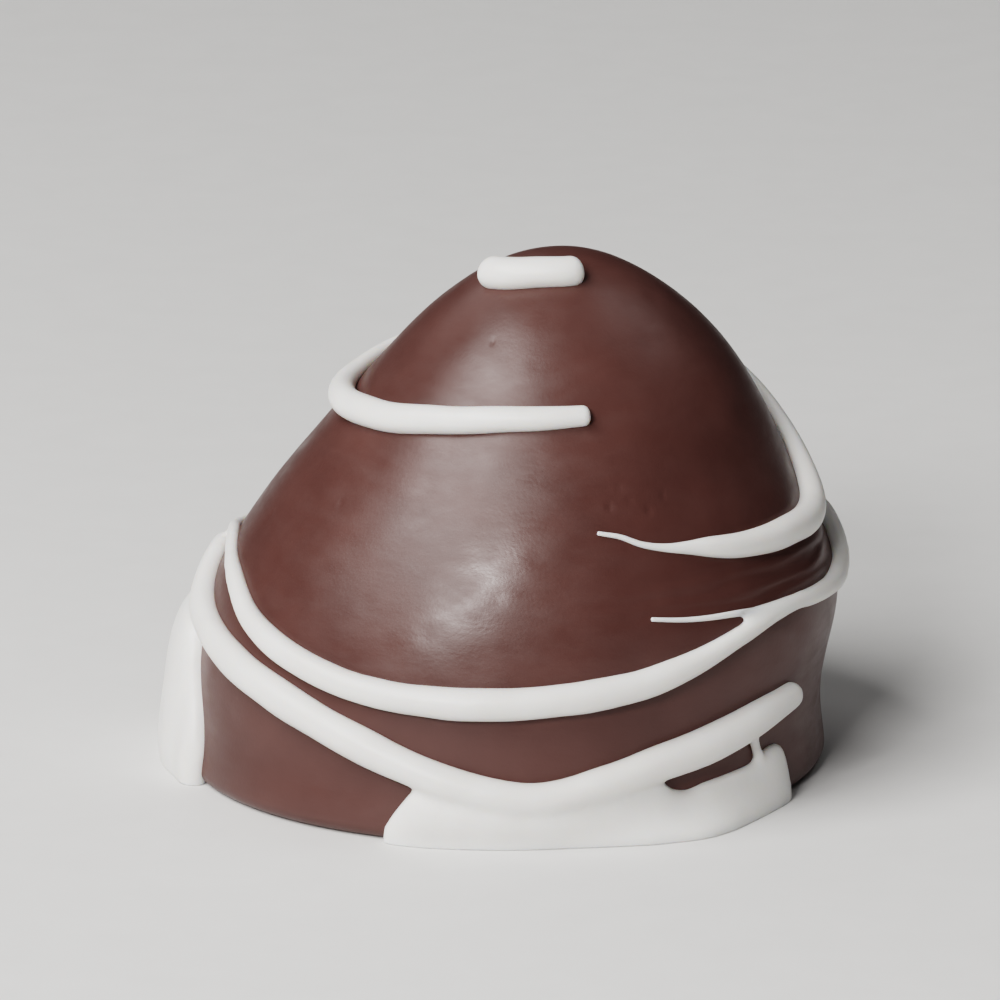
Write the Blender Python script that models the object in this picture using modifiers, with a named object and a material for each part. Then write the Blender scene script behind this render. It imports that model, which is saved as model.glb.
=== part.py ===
"""A chocolate coated strawberry, standing on its trimmed leafy end with the tip up.

One ripe strawberry, dipped whole in dark chocolate and set down on its flat foot.
Rounded beads of white chocolate are drizzled over the coat: a dash across the tip, a crown
strand round the shoulder, a short stroke on the back, and a long belt that winds twice
round the belly, with a run down the side and a puddle at the foot.

Z is up and the foot rests on Z = 0. The front is at -Y. A "turn" is an angle in
degrees round the berry's axis, 0 at the front and growing towards +X.
"""
import math

import bmesh
import bpy
from mathutils import Vector

MM = 0.001

# The coated berry. It is a soft cone: round at the tip, almost straight on the flanks,
# and held in at its girth before it reaches the foot.
HEIGHT = 33.45 * MM
GIRTH = 41.0 * MM            # breadth at the foot, side to side
DEPTH_RATIO = 0.96           # front to back over side to side
TIP_RADIUS = 9.0 * MM        # how round the tip is
FLANK_SLOPE = 0.12           # extra half width for each unit down the flank
GIRTH_SHARPNESS = 12         # how suddenly the flank turns into the girth
TIP_LEAN = 3.8 * MM          # the tip stands this far to +X of the foot's centre
LEAN_FROM = 7.0 * MM         # the lean starts at this height
LEAN_TO = 28.3 * MM          # and is complete at this one
FOOT_FLARE = 0.5 * MM        # chocolate that crept outwards as it set
FOOT_FLARE_HEIGHT = 3.0 * MM
FOOT_EDGE = 0.9 * MM         # rounding where the wall turns under to the flat foot

# The berry swells on its right flank: extra share of the half width, and where it is.
SWELLING = 0.105
SWELLING_TURN = 90.0
SWELLING_HEIGHT = 12.2 * MM
SWELLING_REACH = 5.6 * MM

# Low lobes make the round slightly uneven: (number of lobes, turn of the first, depth).
LOBES = ((3, 80.0, 0.005), (5, 10.0, 0.003))

COAT_SIDES = 72
COAT_RINGS = 26
FOOT_ROUNDING_STEPS = 3

# The drizzle.
GAP = 0.3 * MM               # air between the coat and the white beads laid on it
BEAD_SEAT = 0.25             # a bead's middle lies this share of its half width off the coat
BEAD_STEP = 2.3 * MM         # spacing of the rings along a bead
BEAD_RESOLUTION = 2          # 8 sides round a bead
FLOOR_CUT = 60.0 * MM        # breadth of the block that trims what is below the foot

# Each strand is a list of (turn, height in mm, half width in mm), in drawing order.
TIP_DASH = ((13, 32.72, 1.05), (-28, 32.56, 1.10), (-48, 32.37, 1.18), (-64, 32.16, 1.22))
CROWN = (
    (7, 25.68, 0.68, 0.0), (-8, 25.53, 0.80, 0.0), (-28, 25.12, 0.90, 0.0),
    (-52, 24.45, 0.98, 0.0), (-68, 24.2, 1.00, 0.25), (-80, 24.15, 0.95, 0.5),
    (-92, 24.3, 0.80, 0.5), (-106, 24.8, 0.60, 0.25), (-130, 25.4, 0.50, 0.0),
    (-165, 25.6, 0.60, 0.0), (-225, 24.8, 0.68, 0.0), (-247, 22.7, 0.72, 0.0),
    (-263, 19.8, 0.88, 0.0), (-277, 17.2, 0.98, 0.0), (-295, 16.9, 0.98, 0.0),
    (-309, 17.05, 0.85, 0.0), (-320, 17.5, 0.62, 0.0), (-328, 17.85, 0.45, 0.0),
    (-333, 18.2, 0.40, 0.0),
)
BACK_STROKE = (
    (142, 21.3, 0.95), (165, 19.9, 1.00), (190, 19.3, 1.00), (212, 19.8, 0.85),
    (228, 20.7, 0.60), (236, 21.3, 0.45),
)
BELT_FIRST_TURN = (
    (33, 13.55, 0.40), (46, 13.2, 0.42), (57, 12.95, 0.50),
    (71, 12.65, 0.62), (85, 12.75, 0.75), (91, 13.4, 0.85), (98, 14.5, 0.90),
    (112, 14.9, 0.90), (140, 14.0, 0.90), (180, 13.0, 0.90), (215, 12.4, 0.80),
    (240, 12.7, 0.60), (256, 13.7, 0.50), (268, 14.45, 0.50), (280, 14.05, 0.52),
    (292, 13.1, 0.70), (305, 11.6, 0.85), (318, 10.45, 0.92), (336, 9.38, 0.97),
    (347, 9.15, 1.04), (356, 9.1, 1.07), (372, 9.35, 1.05), (388, 10.05, 0.98),
    (399, 11.05, 0.80), (407, 11.9, 0.66), (414, 12.55, 0.60), (422, 12.85, 0.55),
    (431, 12.75, 0.52), (440, 12.65, 0.55),
)
BELT_SECOND_TURN = (
    (424, 12.85, 0.50), (436, 12.68, 0.57), (446, 12.9, 0.72), (457, 13.2, 0.80),
    (472, 12.2, 0.90), (495, 10.2, 0.90), (540, 8.4, 0.95), (585, 9.4, 0.95),
    (606, 11.3, 0.85), (620, 12.55, 0.82), (628, 11.8, 0.90), (640, 10.6, 1.00),
    (650, 9.98, 1.02), (662, 9.1, 1.12), (675, 8.08, 1.15), (689, 6.65, 1.18),
    (702, 5.05, 1.15), (714, 3.7, 1.15), (726, 3.0, 1.15), (739, 3.8, 1.15),
    (746, 4.38, 1.18), (753, 4.87, 1.22), (767, 5.75, 1.20), (776, 6.4, 1.05),
    (782, 6.7, 0.92),
)
BACK_DRIP = ((168, 8.5, 0.80), (169, 6.8, 0.75), (170, 5.0, 1.10), (170, 4.3, 1.00))

# Where the white chocolate ran down, it spreads and thickens towards the foot. A fourth
# number moves the middle of a bead away from the coat, or into it below zero, in mm.
SIDE_RUN = (
    ((270, 10.2, 1.0, 0.1), (266, 8.0, 1.3, 0.0), (264, 4.0, 1.6, -0.2), (263, 0.3, 1.7, -0.3)),
    ((273, 10.3, 1.2, 0.1), (273, 8.0, 1.4, 0.0), (272, 4.0, 1.7, -0.3), (272, 0.3, 1.8, -0.4)),
    ((275, 10.2, 1.1, 0.1), (278, 7.5, 1.3, 0.0), (279, 4.0, 1.7, -0.3), (279, 0.3, 1.8, -0.4)),
    ((278, 9.8, 1.0, 0.0), (282, 7.2, 1.1, 0.0), (285, 4.0, 1.4, -0.2), (286, 0.3, 1.6, -0.4)),
)
FOOT_PUDDLE = (
    (
        (-14, 1.5, 1.3, -0.6), (0, 1.5, 1.7, -1.0), (14, 1.5, 1.8, -1.1), (28, 1.3, 1.7, -0.9),
        (40, 1.2, 1.6, -0.8), (50, 1.5, 1.6, -0.8), (56, 2.0, 1.5, -0.7), (58, 2.3, 1.3, -0.5),
    ),
    (
        (14, 0.2, 0.9, -0.1), (24, 0.1, 1.4, 0.2), (34, 0.1, 1.7, 0.5),
        (42, 0.1, 1.6, 0.4), (50, 0.2, 1.1, 0.1), (57, 0.4, 0.8, -0.1),
    ),
    ((53, 2.8, 0.5, 0.0), (52, 5.0, 0.5, 0.0)),
)


def clear_scene():
    """Empty the scene, so that the file can be run again."""
    for obj in list(bpy.data.objects):
        bpy.data.objects.remove(obj, do_unlink=True)


def make_collection(name):
    """A new collection, linked to the scene."""
    collection = bpy.data.collections.new(name)
    bpy.context.scene.collection.children.link(collection)
    return collection


def plain_material(name, color, roughness):
    """A Principled material with one colour."""
    material = bpy.data.materials.new(name)
    material.use_nodes = True
    shader = material.node_tree.nodes["Principled BSDF"]
    shader.inputs["Base Color"].default_value = (*color, 1.0)
    shader.inputs["Roughness"].default_value = roughness
    shader.inputs["Metallic"].default_value = 0.0
    material.diffuse_color = (*color, 1.0)
    return material


def dark_chocolate():
    """Set dark chocolate, satin and slightly red."""
    return plain_material("dark_chocolate", (0.150, 0.056, 0.045), 0.42)


def white_chocolate():
    """Set white chocolate, creamy and a little glossy."""
    return plain_material("white_chocolate", (0.745, 0.700, 0.640), 0.40)


def half_width(height):
    """Half the berry's breadth at a height, before its lobes."""
    drop = max(HEIGHT - height, 0.0)
    cone = math.sqrt((FLANK_SLOPE * drop) ** 2 + 2.0 * TIP_RADIUS * drop)
    if cone == 0.0:
        return 0.0
    limit = GIRTH / 2.0
    ratio = (cone / limit) ** GIRTH_SHARPNESS
    width = cone / (1.0 + ratio) ** (1.0 / GIRTH_SHARPNESS)
    return width + FOOT_FLARE * math.exp(-(height / FOOT_FLARE_HEIGHT) ** 2)


def lean(height):
    """How far the berry's axis has moved to +X at a height."""
    part = min(max((height - LEAN_FROM) / (LEAN_TO - LEAN_FROM), 0.0), 1.0)
    return TIP_LEAN * part * part * (3.0 - 2.0 * part)


def unevenness(turn, height):
    """Share by which the real berry is wider or narrower than a round one, about 1."""
    share = 1.0
    for count, first, depth in LOBES:
        share += depth * math.cos(count * math.radians(turn - first))
    facing = max(math.cos(math.radians(turn - SWELLING_TURN)), 0.0) ** 2
    level = math.exp(-((height - SWELLING_HEIGHT) / SWELLING_REACH) ** 2)
    return share + SWELLING * facing * level


def placed(turn, height, width):
    """The point at a half width from the leaning axis, at a turn and a height."""
    angle = math.radians(turn)
    reach = width * unevenness(turn, height)
    x = reach * math.sin(angle) + lean(height)
    y = -reach * math.cos(angle) * DEPTH_RATIO
    return Vector((x, y, height))


def coat_profile():
    """Half width and height from the tip down the flank and under to the axis."""
    outline = []
    for ring in range(COAT_RINGS + 1):
        height = FOOT_EDGE + (HEIGHT - FOOT_EDGE) * (1.0 - (ring / COAT_RINGS) ** 1.5)
        outline.append((half_width(height), height))
    wall = half_width(FOOT_EDGE)
    for step in range(1, FOOT_ROUNDING_STEPS + 1):
        angle = math.pi / 2.0 * step / FOOT_ROUNDING_STEPS
        inset = FOOT_EDGE * (1.0 - math.cos(angle))
        outline.append((wall - inset, FOOT_EDGE * (1.0 - math.sin(angle))))
    outline.append((0.0, 0.0))
    return outline


def evaluated_mesh(obj):
    """The object's mesh with its modifiers or its bevel applied."""
    depsgraph = bpy.context.evaluated_depsgraph_get()
    return bpy.data.meshes.new_from_object(obj.evaluated_get(depsgraph))


def turned_berry(name, collection):
    """Turn the profile round the axis, then lean it and give it its lobes."""
    outline = bpy.data.meshes.new(name + "_outline")
    points = [(width, 0.0, height) for width, height in coat_profile()]
    outline.from_pydata(points, [(i, i + 1) for i in range(len(points) - 1)], [])
    turning = bpy.data.objects.new(name + "_outline", outline)
    collection.objects.link(turning)
    screw = turning.modifiers.new("Turn", "SCREW")
    screw.steps = COAT_SIDES
    screw.render_steps = COAT_SIDES
    screw.use_merge_vertices = True
    screw.merge_threshold = 0.00001
    mesh = evaluated_mesh(turning)
    mesh.name = name
    bpy.data.objects.remove(turning, do_unlink=True)
    for vertex in mesh.vertices:
        width = math.hypot(vertex.co.x, vertex.co.y)
        turn = math.degrees(math.atan2(vertex.co.x, -vertex.co.y))
        vertex.co = placed(turn, vertex.co.z, width)
    berry = bpy.data.objects.new(name, mesh)
    collection.objects.link(berry)
    return berry


def grown(source, name, distance, collection):
    """A copy of a solid with its surface moved outwards, to cut the drizzle with."""
    mesh = source.data.copy()
    mesh.name = name
    normals = [vertex.normal.copy() for vertex in mesh.vertices]
    for vertex, normal in zip(mesh.vertices, normals):
        vertex.co += normal * distance
        if vertex.co.z < 0.0:
            vertex.co.z = -FLOOR_CUT / 10.0
    cutter = bpy.data.objects.new(name, mesh)
    collection.objects.link(cutter)
    return cutter


def floor_block(collection):
    """A block under the foot, which trims the drizzle flat where it reached the floor."""
    bpy.ops.mesh.primitive_cube_add(size=FLOOR_CUT, location=(0, 0, -FLOOR_CUT / 2.0))
    block = bpy.context.active_object
    block.name = "floor_block"
    for owner in list(block.users_collection):
        owner.objects.unlink(block)
    collection.objects.link(block)
    return block


def slope(before, here, after, gap_before, gap_after):
    """Slope of the parabola through three neighbouring values, at the middle one."""
    rise_before = (here - before) / gap_before
    rise_after = (after - here) / gap_after
    total = gap_before + gap_after
    return (rise_before * gap_after + rise_after * gap_before) / total


def on_coat(turn, height_mm, lift_mm=0.0):
    """A point on the coat's wall, or lifted off it."""
    height = height_mm * MM
    return placed(turn, height, half_width(height) + lift_mm * MM)


def smooth_route(controls):
    """Read a smooth curve through the controls, at even steps between each pair."""
    spots = [on_coat(turn, height) for turn, height, *_ in controls]
    gaps = [(b - a).length for a, b in zip(spots, spots[1:])]
    last = len(controls) - 1
    slopes = []
    for i in range(last + 1):
        low, high = max(i - 1, 0), min(i + 1, last)
        if low == i or high == i:
            slopes.append([(b - a) / gaps[low] for a, b in zip(controls[low], controls[high])])
            continue
        slopes.append([
            slope(b, m, a, gaps[i - 1], gaps[i])
            for b, m, a in zip(controls[low], controls[i], controls[high])
        ])
    route = []
    for i, gap in enumerate(gaps):
        count = max(1, round(gap / BEAD_STEP))
        for step in range(count + (i == last - 1)):
            t = step / count
            h00 = (1 + 2 * t) * (1 - t) ** 2
            h10 = t * (1 - t) ** 2
            h01 = t * t * (3 - 2 * t)
            h11 = t * t * (t - 1)
            route.append([
                h00 * p + h10 * gap * s + h01 * q + h11 * gap * r
                for p, q, s, r in zip(controls[i], controls[i + 1], slopes[i], slopes[i + 1])
            ])
    return route


def bead(name, controls, collection):
    """A round bead of chocolate along a strand, with its two ends rounded."""
    route = smooth_route(controls)
    points = [
        on_coat(turn, height, sum(lift) + BEAD_SEAT * half) for turn, height, half, *lift in route
    ]
    radii = [half * MM for _, _, half, *_ in route]
    for end, inner in ((0, 1), (-1, -2)):
        outwards = (points[end] - points[inner]).normalized()
        tip = points[end] + outwards * radii[end] * 0.8
        place = 0 if end == 0 else len(points)
        points.insert(place, tip)
        radii.insert(place, radii[end] * 0.55)
    curve = bpy.data.curves.new(name, "CURVE")
    curve.dimensions = "3D"
    curve.bevel_depth = 1.0
    curve.bevel_resolution = BEAD_RESOLUTION
    curve.use_fill_caps = True
    spline = curve.splines.new("POLY")
    spline.points.add(len(points) - 1)
    for knot, point, radius in zip(spline.points, points, radii):
        knot.co = (*point, 1.0)
        knot.radius = radius
    drawn = bpy.data.objects.new(name, curve)
    collection.objects.link(drawn)
    mesh = evaluated_mesh(drawn)
    bpy.data.objects.remove(drawn, do_unlink=True)
    shape = bmesh.new()
    shape.from_mesh(mesh)
    bmesh.ops.remove_doubles(shape, verts=shape.verts, dist=0.000001)
    bmesh.ops.recalc_face_normals(shape, faces=shape.faces)
    shape.to_mesh(mesh)
    shape.free()
    solid = bpy.data.objects.new(name, mesh)
    collection.objects.link(solid)
    return solid


def boolean(target, tool, operation, name):
    """Add a Boolean modifier with one cutter."""
    modifier = target.modifiers.new(name, "BOOLEAN")
    modifier.operation = operation
    modifier.solver = "EXACT"
    modifier.use_self = True
    modifier.object = tool
    return modifier


def drizzle(name, strands, parts, cutters, coat_space, floor):
    """Fuse the strands of one drizzle and hollow its underside to fit the coat."""
    solid = bead(name, strands[0], parts)
    for number, strand in enumerate(strands[1:], start=1):
        piece = bead(f"{name}_bead_{number}", strand, cutters)
        boolean(solid, piece, "UNION", f"Fuse bead {number}")
    boolean(solid, coat_space, "DIFFERENCE", "Fit the coat")
    if floor is not None:
        boolean(solid, floor, "DIFFERENCE", "Trim at the floor")
    return solid


def finish(obj, material):
    """Give a part its material and smooth shading."""
    obj.data.materials.clear()
    obj.data.materials.append(material)
    obj.data.shade_smooth()


def hide_cutters(cutters):
    """Show the cutters as wires only and keep them out of renders."""
    for cutter in cutters.objects:
        cutter.hide_render = True
        cutter.display_type = "WIRE"


def build():
    """Make the coated berry and the white drizzle on it."""
    clear_scene()
    parts = make_collection("chocolate_coated_strawberry")
    cutters = make_collection("cutters")
    berry = turned_berry("coated_berry", parts)
    coat_space = grown(berry, "coat_space", GAP, cutters)
    floor = floor_block(cutters)
    belt = (BELT_FIRST_TURN, BELT_SECOND_TURN, BACK_DRIP) + SIDE_RUN + FOOT_PUDDLE
    white = white_chocolate()
    finish(berry, dark_chocolate())
    finish(drizzle("drizzle_tip", (TIP_DASH,), parts, cutters, coat_space, None), white)
    finish(drizzle("drizzle_crown", (CROWN,), parts, cutters, coat_space, None), white)
    finish(drizzle("drizzle_back", (BACK_STROKE,), parts, cutters, coat_space, None), white)
    finish(drizzle("drizzle_belt", belt, parts, cutters, coat_space, floor), white)
    hide_cutters(cutters)


build()
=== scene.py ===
"""A chocolate coated strawberry: the coat, its white drizzle, and the light on it."""
import math
import random

import bmesh
import bpy
from mathutils import Matrix, Vector, noise
from mathutils.kdtree import KDTree


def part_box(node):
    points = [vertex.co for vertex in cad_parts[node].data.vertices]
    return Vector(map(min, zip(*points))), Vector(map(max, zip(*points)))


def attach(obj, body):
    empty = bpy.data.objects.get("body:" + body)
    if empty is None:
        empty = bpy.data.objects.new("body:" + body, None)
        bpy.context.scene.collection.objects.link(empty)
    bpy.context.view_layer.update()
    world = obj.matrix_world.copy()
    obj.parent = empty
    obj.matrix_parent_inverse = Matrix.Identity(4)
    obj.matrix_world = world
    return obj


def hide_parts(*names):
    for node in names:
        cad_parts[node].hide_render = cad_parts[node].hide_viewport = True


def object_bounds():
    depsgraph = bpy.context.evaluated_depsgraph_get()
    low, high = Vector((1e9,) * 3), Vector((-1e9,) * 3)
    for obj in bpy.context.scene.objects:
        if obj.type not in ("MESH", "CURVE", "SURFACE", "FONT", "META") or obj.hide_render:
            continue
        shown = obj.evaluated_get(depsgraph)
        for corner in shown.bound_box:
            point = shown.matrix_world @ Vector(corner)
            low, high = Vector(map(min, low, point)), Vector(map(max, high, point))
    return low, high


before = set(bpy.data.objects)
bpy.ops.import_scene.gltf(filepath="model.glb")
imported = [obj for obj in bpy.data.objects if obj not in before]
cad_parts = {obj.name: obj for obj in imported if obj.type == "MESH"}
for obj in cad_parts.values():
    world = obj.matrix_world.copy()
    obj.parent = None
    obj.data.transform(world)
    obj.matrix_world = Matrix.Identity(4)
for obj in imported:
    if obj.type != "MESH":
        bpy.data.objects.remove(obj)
cad_low, cad_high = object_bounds()


# ---- The coat --------------------------------------------------------------------------
# A ripe strawberry, its leafy end trimmed flat, dipped whole in tempered dark chocolate
# and set down on that end. The coat is a millimetre or two thick, so the fruit's leaning
# tip, swollen flank and, very faintly, its seed pits still show through it.

# The berry's own measures are in millimetres. Its height in the frame gives their scale.
BERRY_HEIGHT = 33.45
coat_low, coat_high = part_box("coated_berry")
MM = (coat_high.z - coat_low.z) / BERRY_HEIGHT
FLOOR = coat_low.z

GIRTH = 41.0
DEPTH_RATIO = 0.96
TIP_RADIUS = 9.0
FLANK_SLOPE = 0.12
GIRTH_SHARPNESS = 12
TIP_LEAN = 3.8
LEAN_FROM = 7.0
LEAN_TO = 28.3
FOOT_FLARE = 0.5
FOOT_FLARE_HEIGHT = 3.0
FOOT_EDGE = 0.9
SWELLING = 0.105
SWELLING_TURN = 90.0
SWELLING_HEIGHT = 12.2
SWELLING_REACH = 5.6
LOBES = ((3, 80.0, 0.005), (5, 10.0, 0.003))

COAT_SIDES = 456
COAT_RINGS = 176
FOOT_ROUNDING_STEPS = 9
FOOT_SOLE_RINGS = 10

# Relief of the coat: (size of a lump, its height), from the broadest to the finest.
LUMPS = ((13.0, 0.16), (5.0, 0.055), (2.1, 0.014))
# Fruit seeds leave pits that the chocolate nearly fills.
SEED_ROWS_PITCH = 3.6
SEED_PIT_RADIUS = 0.95
SEED_PIT_DEPTH = 0.027
# Wrinkles where the last chocolate crept down between two strands on the right.
WRINKLE_TURN, WRINKLE_HEIGHT = 62.0, 14.9
WRINKLE_SPREAD, WRINKLE_BAND = 34.0, 1.5
WRINKLE_PITCH, WRINKLE_DEPTH = 0.95, 0.055
# Burst air bubbles: (turn, height, radius, depth).
BUBBLES = (
    (16, 20.6, 0.30, 0.12), (21, 20.9, 0.24, 0.10), (26, 20.2, 0.28, 0.12),
    (18, 21.6, 0.20, 0.08), (30, 20.9, 0.22, 0.09), (-52, 19.5, 0.26, 0.09),
    (-74, 17.2, 0.22, 0.08), (118, 19.4, 0.30, 0.12), (126, 20.4, 0.22, 0.10),
    (-128, 19.8, 0.28, 0.11), (151, 15.9, 0.25, 0.10), (-30, 29.4, 0.22, 0.08),
    (205, 22.6, 0.26, 0.10), (-102, 8.2, 0.30, 0.11), (140, 5.0, 0.28, 0.10),
)


def half_width(height):
    """Half the berry's breadth at a height, before its lobes."""
    drop = max(BERRY_HEIGHT - height, 0.0)
    cone = math.sqrt((FLANK_SLOPE * drop) ** 2 + 2.0 * TIP_RADIUS * drop)
    limit = GIRTH / 2.0
    ratio = (cone / limit) ** GIRTH_SHARPNESS
    width = cone / (1.0 + ratio) ** (1.0 / GIRTH_SHARPNESS)
    return width + FOOT_FLARE * math.exp(-(height / FOOT_FLARE_HEIGHT) ** 2)


def lean(height):
    """How far the berry's axis has moved to +X at a height."""
    part = min(max((height - LEAN_FROM) / (LEAN_TO - LEAN_FROM), 0.0), 1.0)
    return TIP_LEAN * part * part * (3.0 - 2.0 * part)


def unevenness(turn, height):
    """Share by which the berry is wider or narrower than a round one, about 1."""
    share = 1.0
    for count, first, depth in LOBES:
        share += depth * math.cos(count * math.radians(turn - first))
    facing = max(math.cos(math.radians(turn - SWELLING_TURN)), 0.0) ** 2
    level = math.exp(-((height - SWELLING_HEIGHT) / SWELLING_REACH) ** 2)
    return share + SWELLING * facing * level


def placed(turn, height, width):
    """The point at a half width from the leaning axis, in millimetres."""
    angle = math.radians(turn)
    reach = width * unevenness(turn, height)
    x = reach * math.sin(angle) + lean(height)
    return Vector((x, -reach * math.cos(angle) * DEPTH_RATIO, height))


def coat_profile():
    """Half width and height from the tip, down the flank and under to the axis."""
    outline = []
    for ring in range(COAT_RINGS + 1):
        part = ring / COAT_RINGS
        height = FOOT_EDGE + (BERRY_HEIGHT - FOOT_EDGE) * (1.0 - part ** 1.35)
        outline.append((half_width(height), height))
    wall = half_width(FOOT_EDGE)
    for step in range(1, FOOT_ROUNDING_STEPS + 1):
        angle = math.pi / 2.0 * step / FOOT_ROUNDING_STEPS
        inset = FOOT_EDGE * (1.0 - math.cos(angle))
        outline.append((wall - inset, FOOT_EDGE * (1.0 - math.sin(angle))))
    sole = outline[-1][0]
    for ring in range(1, FOOT_SOLE_RINGS + 1):
        outline.append((sole * (1.0 - ring / FOOT_SOLE_RINGS), 0.0))
    return outline


def seed_pits():
    """Places of the seeds under the coat, in a spiral round the fruit."""
    rng = random.Random(7)
    pits = KDTree(400)
    golden = 137.508
    turn, height, index = 0.0, 2.5, 0
    while height < BERRY_HEIGHT - 1.2:
        width = half_width(height)
        wobble = rng.uniform(-6.0, 6.0)
        pits.insert(placed(turn + wobble, height, width), index)
        turn += golden
        height += SEED_ROWS_PITCH ** 2 / (2.0 * math.pi * width)
        index += 1
    pits.balance()
    strengths = [rng.uniform(0.0, 1.0) ** 2 for _ in range(index)]
    return pits, strengths


def dent(distance, radius, depth):
    """Depth of a round pit at a distance from its middle."""
    return depth * math.exp(-(distance / (0.62 * radius)) ** 2)


def relief(point, turn, pits, strengths, bubbles):
    """How far the coat's skin stands out of, or lies below, the plain form here."""
    out = 0.0
    for size, height in LUMPS:
        out += height * noise.noise(point / size + Vector((3.1, 7.7, 1.3)) * size)
    _, index, distance = pits.find(point)
    out -= strengths[index] * dent(distance, SEED_PIT_RADIUS, SEED_PIT_DEPTH)
    for place, radius, depth in bubbles:
        gap = (point - place).length
        if gap < 3.0 * radius:
            out -= dent(gap, radius, depth)
    aside = (turn - WRINKLE_TURN) / WRINKLE_SPREAD
    level = (point.z - WRINKLE_HEIGHT) / WRINKLE_BAND
    patch = math.exp(-aside * aside - level * level)
    phase = point.z / WRINKLE_PITCH + 0.5 * noise.noise(Vector((turn / 14.0, point.z, 0.0)))
    return out + WRINKLE_DEPTH * patch * math.sin(2.0 * math.pi * phase)


def turned_coat():
    """Spin the profile, then give it the fruit's form and the skin's relief."""
    shape = bmesh.new()
    points = [shape.verts.new((width, 0.0, height)) for width, height in coat_profile()]
    edges = [shape.edges.new(pair) for pair in zip(points, points[1:])]
    bmesh.ops.spin(
        shape, geom=points + edges, axis=(0.0, 0.0, 1.0), cent=(0.0, 0.0, 0.0),
        angle=2.0 * math.pi, steps=COAT_SIDES, use_merge=True, use_duplicate=False,
    )
    bmesh.ops.remove_doubles(shape, verts=shape.verts, dist=0.002)
    pits, strengths = seed_pits()
    bubbles = [
        (placed(turn, height, half_width(height)), radius, depth)
        for turn, height, radius, depth in BUBBLES
    ]
    turns = {}
    for vert in shape.verts:
        turn = math.degrees(math.atan2(vert.co.x, -vert.co.y))
        turns[vert] = turn
        vert.co = placed(turn, vert.co.z, math.hypot(vert.co.x, vert.co.y))
    bmesh.ops.recalc_face_normals(shape, faces=shape.faces)
    shape.normal_update()
    for vert in shape.verts:
        above = min(vert.co.z / FOOT_EDGE, 1.0)
        rise = relief(vert.co, turns[vert], pits, strengths, bubbles)
        vert.co += vert.normal * rise * above
    return shape


def finished(shape, name):
    """Turn a shape in millimetres into a smooth piece in the frame."""
    bmesh.ops.transform(
        shape, verts=shape.verts, matrix=Matrix.Translation((0, 0, FLOOR)) @ Matrix.Scale(MM, 4)
    )
    bmesh.ops.recalc_face_normals(shape, faces=shape.faces)
    mesh = bpy.data.meshes.new(name)
    shape.to_mesh(mesh)
    shape.free()
    mesh.shade_smooth()
    piece = bpy.data.objects.new(name, mesh)
    bpy.context.scene.collection.objects.link(piece)
    return piece


def new_material(name):
    """A node material with its Principled shader, and short ways to add to it."""
    material = bpy.data.materials.new(name)
    material.use_nodes = True
    nodes, links = material.node_tree.nodes, material.node_tree.links
    shader = nodes["Principled BSDF"]
    place = nodes.new("ShaderNodeTexCoord")
    return material, nodes, links, shader, place.outputs["Object"]


def cloud(nodes, links, place, size, detail=3.0, roughness=0.55, squeeze=(1.0, 1.0, 1.0)):
    """A noise pattern whose lumps are about one size, in millimetres."""
    mapping = nodes.new("ShaderNodeMapping")
    mapping.inputs["Scale"].default_value = [1.0 / (size * MM * s) for s in squeeze]
    links.new(place, mapping.inputs["Vector"])
    texture = nodes.new("ShaderNodeTexNoise")
    texture.inputs["Scale"].default_value = 1.0
    texture.inputs["Detail"].default_value = detail
    texture.inputs["Roughness"].default_value = roughness
    links.new(mapping.outputs["Vector"], texture.inputs["Vector"])
    return texture.outputs["Fac"]


def spread(nodes, links, value, low, high, to_low, to_high):
    """Map one range of a pattern onto another."""
    ramp = nodes.new("ShaderNodeMapRange")
    ramp.inputs["From Min"].default_value = low
    ramp.inputs["From Max"].default_value = high
    ramp.inputs["To Min"].default_value = to_low
    ramp.inputs["To Max"].default_value = to_high
    links.new(value, ramp.inputs["Value"])
    return ramp.outputs["Result"]


def tinted(nodes, links, value, first, second):
    """A colour between two, following a pattern."""
    mix = nodes.new("ShaderNodeMix")
    mix.data_type = "RGBA"
    mix.inputs["A"].default_value = (*first, 1.0)
    mix.inputs["B"].default_value = (*second, 1.0)
    links.new(value, mix.inputs["Factor"])
    return mix.outputs["Result"]


def raised(nodes, links, shader, patterns):
    """Stack bump patterns: (pattern, height in millimetres)."""
    before = None
    for pattern, height in patterns:
        bump = nodes.new("ShaderNodeBump")
        bump.inputs["Distance"].default_value = height * MM
        bump.inputs["Strength"].default_value = 1.0
        links.new(pattern, bump.inputs["Height"])
        if before is not None:
            links.new(before, bump.inputs["Normal"])
        before = bump.outputs["Normal"]
    links.new(before, shader.inputs["Normal"])


def dark_chocolate():
    """Tempered dark chocolate: satin, red brown, with dull and glossier clouds."""
    material, nodes, links, shader, place = new_material("dark_chocolate")
    clouds = cloud(nodes, links, place, 6.0, detail=4.0)
    film = cloud(nodes, links, place, 1.6, detail=5.0, squeeze=(1.6, 1.6, 0.7))
    grain = cloud(nodes, links, place, 0.22, detail=2.0)
    depth = spread(nodes, links, clouds, 0.3, 0.7, 0.0, 1.0)
    color = tinted(nodes, links, depth, (0.079, 0.036, 0.031), (0.099, 0.046, 0.0395))
    links.new(color, shader.inputs["Base Color"])
    dull = spread(nodes, links, film, 0.3, 0.7, 0.29, 0.43)
    links.new(dull, shader.inputs["Roughness"])
    shader.inputs["IOR"].default_value = 1.5
    shader.inputs["Specular IOR Level"].default_value = 0.5
    raised(nodes, links, shader, ((film, 0.022), (grain, 0.006)))
    return material


coat = finished(turned_coat(), "dark_chocolate_coat")
coat.data.materials.append(dark_chocolate())
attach(coat, "root")
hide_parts("coated_berry")


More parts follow.
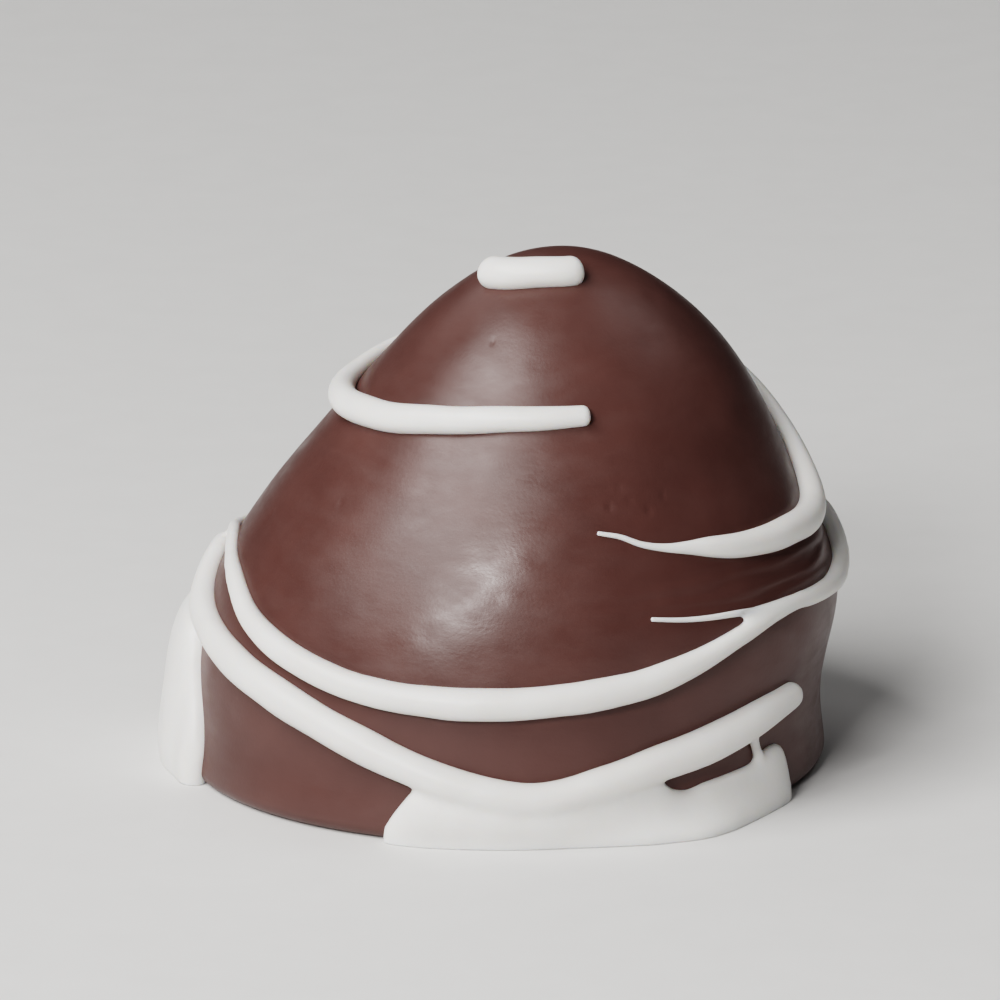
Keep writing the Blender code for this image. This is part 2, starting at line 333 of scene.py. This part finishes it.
# ---- The single strands ----------------------------------------------------------------
# Threads of melted white chocolate piped over the set coat: a dash across the tip, a
# strand round the shoulder and a short stroke on the back. Each starts as a blunt round
# bead, sits on the coat with its edges tucked under, and thins to a tail where it broke.

# Each strand is a list of (turn, height, half width) in drawing order, some with a lift.
TIP_DASH = ((9, 32.72, 1.02), (-28, 32.56, 1.08), (-45, 32.42, 1.12), (-58, 32.32, 1.14))
CROWN = (
    (7, 25.68, 0.68, 0.0), (-8, 25.53, 0.80, 0.0), (-28, 25.12, 0.90, 0.0),
    (-52, 24.45, 0.98, 0.0), (-68, 24.2, 1.00, 0.25), (-80, 24.15, 0.95, 0.5),
    (-92, 24.3, 0.80, 0.5), (-106, 24.8, 0.60, 0.25), (-130, 25.4, 0.50, 0.0),
    (-165, 25.6, 0.60, 0.0), (-225, 24.8, 0.68, 0.0), (-247, 22.7, 0.72, 0.0),
    (-263, 19.8, 0.88, 0.0), (-277, 17.2, 0.98, 0.0), (-295, 16.9, 0.98, 0.0),
    (-309, 17.05, 0.85, 0.0), (-320, 17.5, 0.62, 0.0), (-324, 17.65, 0.45, 0.0),
    (-330, 17.9, 0.28, 0.0), (-336, 18.3, 0.20, 0.0), (-341, 18.85, 0.17, 0.0),
    (-346, 19.15, 0.14, 0.0),
)
BACK_STROKE = (
    (142, 21.3, 0.95), (165, 19.9, 1.00), (190, 19.3, 1.00), (212, 19.8, 0.85),
    (228, 20.7, 0.50), (240, 21.6, 0.22), (247, 22.1, 0.13),
)

BEAD_SIDES = 28
BEAD_STEP = 0.24
BEAD_RISE = 0.95            # height of a bead's section over its half width
BEAD_SEAT = 0.35            # its widest part is this share of a half width off the coat
END_REACH = 0.8             # a bead ends this share of its half width past its last point
END_BLUNTNESS = 2.6         # 2 is a round end, more is blunter
END_STEPS = 9
BEAD_SWAY = 0.07            # how far a strand strays from its line
BEAD_SWELL = 0.05           # share by which it swells and thins


def on_coat(turn, height, lift=0.0):
    """A point on the coat's wall, or lifted off it."""
    return placed(turn, height, half_width(height) + lift)


def outwards(turn, height):
    """The coat's normal at a turn and a height."""
    across = on_coat(turn + 0.5, height) - on_coat(turn - 0.5, height)
    up = on_coat(turn, height + 0.05) - on_coat(turn, height - 0.05)
    return across.cross(up).normalized()


def slope(before, here, after, gap_before, gap_after):
    """Slope of the parabola through three neighbouring values, at the middle one."""
    rise_before = (here - before) / gap_before
    rise_after = (after - here) / gap_after
    return (rise_before * gap_after + rise_after * gap_before) / (gap_before + gap_after)


def smooth_route(controls):
    """Closely spaced readings of a smooth curve through the controls."""
    spots = [on_coat(turn, height) for turn, height, *_ in controls]
    gaps = [(b - a).length for a, b in zip(spots, spots[1:])]
    last = len(controls) - 1
    slopes = []
    for i in range(last + 1):
        if i in (0, last):
            low, high = (0, 1) if i == 0 else (last - 1, last)
            slopes.append([(b - a) / gaps[low] for a, b in zip(controls[low], controls[high])])
            continue
        slopes.append([
            slope(b, m, a, gaps[i - 1], gaps[i])
            for b, m, a in zip(controls[i - 1], controls[i], controls[i + 1])
        ])
    route = []
    for i, gap in enumerate(gaps):
        count = max(1, round(gap / (BEAD_STEP / 2.0)))
        for step in range(count + (i == last - 1)):
            t = step / count
            h00 = (1 + 2 * t) * (1 - t) ** 2
            h10 = t * (1 - t) ** 2
            h01 = t * t * (3 - 2 * t)
            h11 = t * t * (t - 1)
            route.append([
                h00 * p + h10 * gap * s + h01 * q + h11 * gap * r
                for p, q, s, r in zip(controls[i], controls[i + 1], slopes[i], slopes[i + 1])
            ])
    return route


def stations(controls):
    """Places along a strand: (distance, turn, height, half width, lift, end rounding)."""
    route = [reading if len(reading) == 4 else reading + [0.0] for reading in smooth_route(controls)]
    spots = [on_coat(turn, height) for turn, height, *_ in route]
    along = [0.0]
    for a, b in zip(spots, spots[1:]):
        along.append(along[-1] + (b - a).length)
    total = along[-1]
    first, final = route[0][2], route[-1][2]
    count = max(2, round(total / BEAD_STEP))
    steps = [1.0 - math.cos(math.pi / 2.0 * k / END_STEPS) for k in range(END_STEPS)]
    places = [first * END_REACH * (step - 1.0) for step in steps]
    places += [total * k / count for k in range(count + 1)]
    places += [total + final * END_REACH * (1.0 - step) for step in reversed(steps)]
    found = []
    index = 0
    for place in places:
        while index < len(along) - 2 and along[index + 1] < place:
            index += 1
        part = (place - along[index]) / max(along[index + 1] - along[index], 1e-9)
        reading = [a + (b - a) * part for a, b in zip(route[index], route[index + 1])]
        past = max(-place / first, (place - total) / final, 0.0) / END_REACH
        rounding = max(1.0 - past ** END_BLUNTNESS, 0.0) ** (1.0 / END_BLUNTNESS)
        found.append((place, *reading, rounding))
    return found


def lay_bead(shape, controls, seed):
    """Roll a fine sheet into a bead that follows its strand over the coat."""
    marks = []
    for place, turn, height, half, lift, rounding in stations(controls):
        key = Vector((place / 3.3, seed * 17.3, 0.0))
        sway = BEAD_SWAY * noise.noise(key) * min(half, 1.0)
        swell = 1.0 + BEAD_SWELL * noise.noise(key + Vector((0.0, 5.7, 0.0)))
        out = outwards(turn, height + sway)
        width = half * swell * rounding
        middle = on_coat(turn, height + sway, lift) + out * BEAD_SEAT * half
        marks.append((middle, out, width))
    last = len(marks) - 1
    ways = []
    for i in range(last + 1):
        ahead = marks[min(i + 1, last)][0] - marks[max(i - 1, 0)][0]
        ways.append(ahead.normalized())
    sheet = bmesh.ops.create_grid(shape, x_segments=last, y_segments=BEAD_SIDES, size=0.5)
    for vert in sheet["verts"]:
        i = round((vert.co.x + 0.5) * last)
        angle = (vert.co.y + 0.5) * 2.0 * math.pi
        middle, out, width = marks[i]
        side = ways[i].cross(out).normalized()
        up = side.cross(ways[i])
        vert.co = middle + side * math.cos(angle) * width
        vert.co += up * math.sin(angle) * width * BEAD_RISE
    bmesh.ops.remove_doubles(shape, verts=sheet["verts"], dist=0.0005)


def white_chocolate():
    """White chocolate: creamy, softly glossy, a little see-through at its edges."""
    material, nodes, links, shader, place = new_material("white_chocolate")
    clouds = cloud(nodes, links, place, 3.0, detail=3.0)
    grain = cloud(nodes, links, place, 0.35, detail=3.0)
    cream = spread(nodes, links, clouds, 0.3, 0.7, 0.0, 1.0)
    color = tinted(nodes, links, cream, (0.77, 0.755, 0.73), (0.81, 0.80, 0.78))
    links.new(color, shader.inputs["Base Color"])
    gloss = spread(nodes, links, grain, 0.3, 0.7, 0.36, 0.46)
    links.new(gloss, shader.inputs["Roughness"])
    shader.inputs["IOR"].default_value = 1.46
    shader.inputs["Subsurface Weight"].default_value = 0.35
    shader.inputs["Subsurface Radius"].default_value = (1.0, 0.75, 0.5)
    shader.inputs["Subsurface Scale"].default_value = 0.9 * MM
    raised(nodes, links, shader, ((clouds, 0.05), (grain, 0.012)))
    return material


white = white_chocolate()
SINGLE_STRANDS = (
    ("white_tip_dash", "drizzle_tip", TIP_DASH),
    ("white_crown_strand", "drizzle_crown", CROWN),
    ("white_back_stroke", "drizzle_back", BACK_STROKE),
)
for seed, (name, node, controls) in enumerate(SINGLE_STRANDS):
    shape = bmesh.new()
    lay_bead(shape, controls, seed)
    strand = finished(shape, name)
    strand.data.materials.append(white)
    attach(strand, "root")
    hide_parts(node)


# ---- The belt --------------------------------------------------------------------------
# The long strand that was wound twice round the belly. It was piped last and warmest, so
# its turns flow together where they touch, it runs down the left side, and it gathers in
# a puddle against the front of the foot.

BELT_TAIL = (
    (27.5, 13.8, 0.14), (33, 13.55, 0.16), (40, 13.35, 0.19), (46, 13.25, 0.22),
    (51, 13.1, 0.26), (56, 12.95, 0.22), (60, 12.85, 0.15),
)
BELT_FIRST_TURN = (
    (46, 13.2, 0.26), (50, 13.1, 0.36), (57, 12.95, 0.50),
    (71, 12.65, 0.62), (85, 12.75, 0.75), (91, 13.4, 0.85), (98, 14.5, 0.90),
    (112, 14.9, 0.90), (140, 14.0, 0.90), (180, 13.0, 0.90), (215, 12.4, 0.80),
    (240, 12.7, 0.60), (256, 13.7, 0.50), (268, 14.45, 0.50), (280, 14.05, 0.52),
    (292, 13.1, 0.70), (305, 11.6, 0.85), (318, 10.45, 0.92), (336, 9.38, 0.97),
    (347, 9.15, 1.04), (356, 9.1, 1.07), (372, 9.35, 1.05), (388, 10.05, 0.98),
    (399, 11.05, 0.80), (407, 11.9, 0.66), (414, 12.55, 0.60), (422, 12.85, 0.55),
    (431, 12.75, 0.52), (440, 12.65, 0.55),
)
BELT_SECOND_TURN = (
    (424, 12.85, 0.50), (436, 12.68, 0.57), (446, 12.9, 0.72), (457, 13.2, 0.80),
    (472, 12.2, 0.90), (495, 10.2, 0.90), (540, 8.4, 0.95), (585, 9.4, 0.95),
    (606, 11.3, 0.85), (620, 12.55, 0.82), (628, 11.8, 0.90), (640, 10.6, 1.00),
    (650, 9.98, 1.02), (662, 9.1, 1.12), (675, 8.08, 1.15), (689, 6.65, 1.18),
    (702, 5.05, 1.15), (714, 3.7, 1.15), (726, 3.0, 1.15), (739, 3.8, 1.15),
    (746, 4.38, 1.18), (753, 4.87, 1.22), (767, 5.75, 1.20), (776, 6.4, 1.05),
    (782, 6.7, 0.92),
)
BACK_DRIP = ((168, 8.5, 0.80), (169, 6.8, 0.75), (170, 5.0, 1.10), (170, 4.3, 1.00))
PUDDLE_BRIDGE = ((53, 3.3, 0.45), (52, 4.3, 0.38), (51.5, 5.0, 0.45))

# A flow hangs on the coat from the floor up: (turn, height of its top, thickness, how
# much further out it spreads at its toe), from one side of it to the other.
SIDE_RUN = (
    (249, 1.5, 0.90, 0.1), (255, 6.0, 1.30, 0.1), (261, 9.3, 1.60, 0.1), (268, 10.8, 1.70, 0.1),
    (275, 10.9, 1.70, 0.1), (279.5, 10.2, 1.60, 0.1), (283, 8.9, 1.35, 0.1),
    (286, 6.7, 1.10, 0.1), (289.5, 4.6, 0.95, 0.2), (292.5, 2.0, 0.80, 0.2),
)
SIDE_RUN_TOE = 5.0
FOOT_PUDDLE = (
    (-21, 0.8, 0.60, -0.1), (-18, 2.4, 0.90, -0.3), (-15, 3.6, 1.20, -0.5), (-8, 3.5, 1.25, -0.6),
    (5, 3.1, 1.25, -0.6), (13, 3.2, 1.20, -0.4), (19, 3.5, 1.05, 0.2), (25, 3.7, 0.90, 1.0),
    (29.5, 3.5, 0.85, 1.4), (32, 2.8, 0.80, 1.6), (34.5, 2.55, 0.80, 1.7), (39, 2.75, 0.85, 1.5),
    (46, 2.95, 0.80, 0.9), (52, 3.2, 0.75, 0.5), (56, 3.75, 0.75, 0.3), (59, 3.7, 0.65, 0.2),
    (61.5, 2.4, 0.50, 0.1),
)
FOOT_PUDDLE_TOE = 1.3

FLOW_SIDES = 64
FLOW_DEPTH = 0.9            # how far a flow reaches into the coat and below the floor
FLOW_EDGE = 1.1             # its two sides are rounded over this length
FLOW_GRAIN = 0.17           # size of the cells that the touching beads are fused in
FLOW_SMOOTHING = 10


def lay_flow(shape, sections, toe_height):
    """Roll a fine sheet into a sheet of chocolate that ran down to the floor."""
    marks = smooth_route(sections)
    spots = [on_coat(turn, 0.0) for turn, *_ in marks]
    along = [0.0]
    for a, b in zip(spots, spots[1:]):
        along.append(along[-1] + (b - a).length)
    last = len(marks) - 1
    sheet = bmesh.ops.create_grid(shape, x_segments=last, y_segments=FLOW_SIDES, size=0.5)
    for vert in sheet["verts"]:
        i = round((vert.co.x + 0.5) * last)
        angle = (vert.co.y + 0.5) * 2.0 * math.pi
        turn, top, thickness, toe = marks[i]
        near = min(along[i], along[last] - along[i]) / FLOW_EDGE
        rounding = math.sqrt(max(1.0 - max(1.0 - near, 0.0) ** 2, 0.0))
        height = -FLOW_DEPTH + (top + FLOW_DEPTH) * (1.0 - math.cos(angle)) / 2.0
        out = thickness + toe * math.exp(-(max(height, 0.0) / toe_height) ** 2)
        reach = out if angle < math.pi else FLOW_DEPTH
        lift = math.copysign(reach * abs(math.sin(angle)) ** 0.45 * rounding, math.sin(angle))
        vert.co = on_coat(turn, max(height, 0.0), lift)
        vert.co.z = height
    bmesh.ops.remove_doubles(shape, verts=sheet["verts"], dist=0.0005)


def fused(shape, name):
    """Melt overlapping beads into one body with soft joins."""
    mesh = bpy.data.meshes.new(name + "_loose")
    shape.to_mesh(mesh)
    shape.free()
    loose = bpy.data.objects.new(name + "_loose", mesh)
    bpy.context.scene.collection.objects.link(loose)
    remesh = loose.modifiers.new("Fuse", "REMESH")
    remesh.mode = "VOXEL"
    remesh.voxel_size = FLOW_GRAIN
    remesh.adaptivity = 0.0
    joined = bpy.data.meshes.new_from_object(
        loose.evaluated_get(bpy.context.evaluated_depsgraph_get())
    )
    bpy.data.objects.remove(loose, do_unlink=True)
    bpy.data.meshes.remove(mesh)
    body = bmesh.new()
    body.from_mesh(joined)
    bpy.data.meshes.remove(joined)
    for _ in range(FLOW_SMOOTHING):
        bmesh.ops.smooth_vert(
            body, verts=body.verts, factor=0.5, use_axis_x=True, use_axis_y=True, use_axis_z=True
        )
    return body


def flat_on_floor(shape):
    """Cut off what would be below the floor and close the cut."""
    cut = bmesh.ops.bisect_plane(
        shape, geom=shape.verts[:] + shape.edges[:] + shape.faces[:], dist=0.0001,
        plane_co=(0.0, 0.0, 0.0), plane_no=(0.0, 0.0, -1.0), clear_outer=True,
    )
    rim = [part for part in cut["geom_cut"] if isinstance(part, bmesh.types.BMEdge)]
    bmesh.ops.holes_fill(shape, edges=rim, sides=0)


shape = bmesh.new()
belt_beads = (BELT_FIRST_TURN, BELT_SECOND_TURN, BACK_DRIP, PUDDLE_BRIDGE)
for seed, controls in enumerate(belt_beads, start=10):
    lay_bead(shape, controls, seed)
lay_flow(shape, SIDE_RUN, SIDE_RUN_TOE)
lay_flow(shape, FOOT_PUDDLE, FOOT_PUDDLE_TOE)
shape = fused(shape, "white_belt")
flat_on_floor(shape)
lay_bead(shape, BELT_TAIL, 10)
belt = finished(shape, "white_belt")
belt.data.materials.append(white)
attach(belt, "root")
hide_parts("drizzle_belt")


# ---- The floor, the light and the camera -----------------------------------------------
# A plain pale table top that runs out of sight, wide soft lights from the left in front,
# weaker ones from behind, and a long lens that looks a little down at the berry.

FLOOR_SIZE = 40.0
LENS = 400.0
SENSOR = 36.0
CAMERA_RISE = 17.0
FRAME_SHARE = 0.70          # the part's breadth over the picture's


def table_top():
    """Pale matt paper, faintly uneven."""
    material, nodes, links, shader, place = new_material("table_top")
    fibre = cloud(nodes, links, place, 4.0, detail=4.0)
    tone = spread(nodes, links, fibre, 0.3, 0.7, 0.0, 1.0)
    links.new(tinted(nodes, links, tone, (0.72, 0.715, 0.705), (0.74, 0.735, 0.725)),
              shader.inputs["Base Color"])
    shader.inputs["Roughness"].default_value = 0.75
    return material


shape = bmesh.new()
bmesh.ops.create_grid(shape, x_segments=1, y_segments=1, size=FLOOR_SIZE / 2.0)
bmesh.ops.translate(shape, verts=shape.verts, vec=(0.0, 0.0, cad_low.z - 0.00002))
mesh = bpy.data.meshes.new("table")
shape.to_mesh(mesh)
shape.free()
table = bpy.data.objects.new("table", mesh)
bpy.context.scene.collection.objects.link(table)
table.data.materials.append(table_top())

middle = (cad_low + cad_high) / 2.0


def soft_light(name, turn, rise, distance, width, height, power, color):
    """An area light that faces the part from a turn and a rise above level."""
    light = bpy.data.lights.new(name, "AREA")
    light.shape = "RECTANGLE"
    light.size = width
    light.size_y = height
    light.energy = power
    light.color = color
    lamp = bpy.data.objects.new(name, light)
    a, e = math.radians(turn), math.radians(rise)
    way = Vector((math.sin(a) * math.cos(e), -math.cos(a) * math.cos(e), math.sin(e)))
    lamp.location = middle + way * distance
    lamp.rotation_mode = "QUATERNION"
    lamp.rotation_quaternion = way.to_track_quat("Z", "Y")
    bpy.context.scene.collection.objects.link(lamp)


soft_light("low", -22.0, 29.0, 0.60, 0.20, 0.11, 2.1, (1.0, 0.99, 0.98))
soft_light("left", -58.0, 34.0, 0.60, 0.30, 0.20, 0.5, (1.0, 0.99, 0.98))
soft_light("high", -60.0, 54.0, 0.60, 0.40, 0.30, 2.6, (1.0, 0.99, 0.98))
soft_light("back_left", -150.0, 45.0, 0.80, 0.50, 0.50, 0.6, (1.0, 0.99, 0.98))
soft_light("back_right", 115.0, 55.0, 0.80, 0.40, 0.40, 0.4, (0.98, 0.99, 1.0))

world = bpy.data.worlds.new("studio")
world.use_nodes = True
world.node_tree.nodes["Background"].inputs["Color"].default_value = (0.80, 0.81, 0.83, 1.0)
world.node_tree.nodes["Background"].inputs["Strength"].default_value = 0.03
bpy.context.scene.world = world
bpy.context.scene.view_settings.view_transform = "Filmic"
bpy.context.scene.view_settings.look = "High Contrast"

lens = bpy.data.cameras.new("camera")
lens.lens = LENS
lens.sensor_width = SENSOR
camera = bpy.data.objects.new("camera", lens)
rise = math.radians(CAMERA_RISE)
back = Vector((0.0, -math.cos(rise), math.sin(rise)))
breadth = cad_high.x - cad_low.x
distance = breadth / FRAME_SHARE * LENS / SENSOR
camera.location = middle + back * distance
camera.rotation_mode = "QUATERNION"
camera.rotation_quaternion = back.to_track_quat("Z", "Y")
lens.clip_start = distance * 0.1
lens.clip_end = FLOOR_SIZE * 2.0
bpy.context.scene.collection.objects.link(camera)
bpy.context.scene.camera = camera
